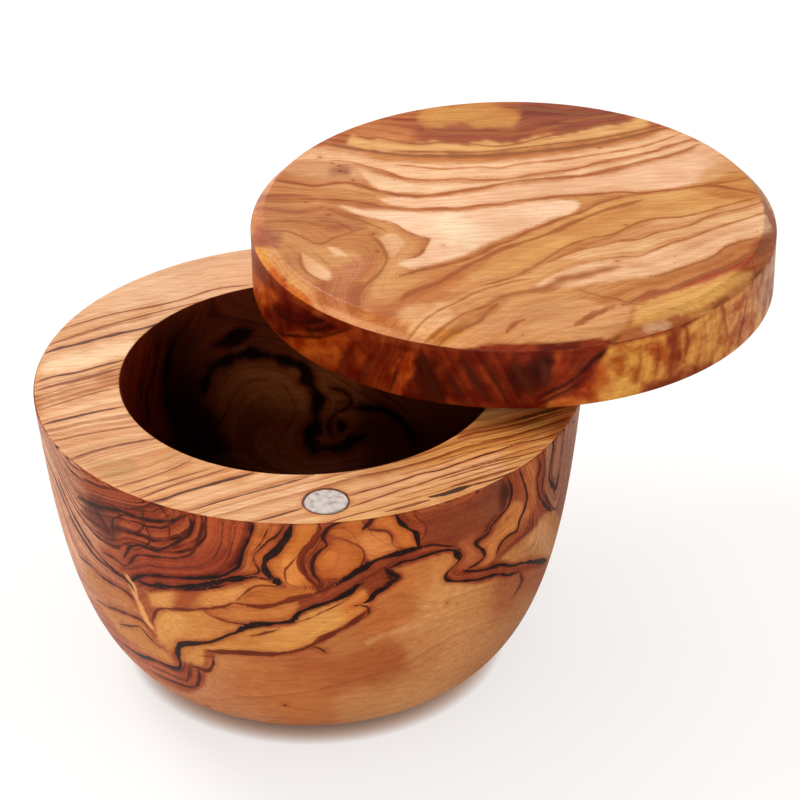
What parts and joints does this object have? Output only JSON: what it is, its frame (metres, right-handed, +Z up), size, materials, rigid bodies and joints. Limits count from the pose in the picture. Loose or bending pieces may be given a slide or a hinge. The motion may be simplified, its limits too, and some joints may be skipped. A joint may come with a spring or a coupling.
{
  "type": "salt keeper",
  "caption": "Round turned wooden salt keeper: a thick bowl with a round well, and a flat disc lid that swivels aside on an upright pin and is held shut by magnets.",
  "frame": {"origin": "centre of the bowl's flat foot, on the surface that the keeper stands on", "axes": "+Z up along the bowl's axis, -Y towards the magnet at the front of the rim, +Y towards the pivot, +X to the side that the lid is swung to at rest"},
  "size_m": [0.1486, 0.1379, 0.0758],
  "materials": {
    "bowl_wood": "oiled olive wood, satin",
    "lid_wood": "oiled olive wood, satin",
    "pin_steel": "ground",
    "sleeve_brass": "turned",
    "washer_plastic": "matte black",
    "magnet_nickel": "worn nickel plate"
  },
  "bodies": {
    "keeper_base": {"bowl": "bowl_wood", "pivot_pin": "pin_steel", "pivot_washer": "washer_plastic", "bowl_magnet": "magnet_nickel"},
    "swivel_lid": {"lid": "lid_wood", "pivot_sleeve": "sleeve_brass", "lid_magnet": "magnet_nickel"}
  },
  "joints": [
    {"name": "lid_swivel", "type": "hinge", "parent": "keeper_base", "child": "swivel_lid", "pos_m": [0, 0.0454, 0.0608], "axis": [0, 0, 1], "continuous": true}
  ]
}
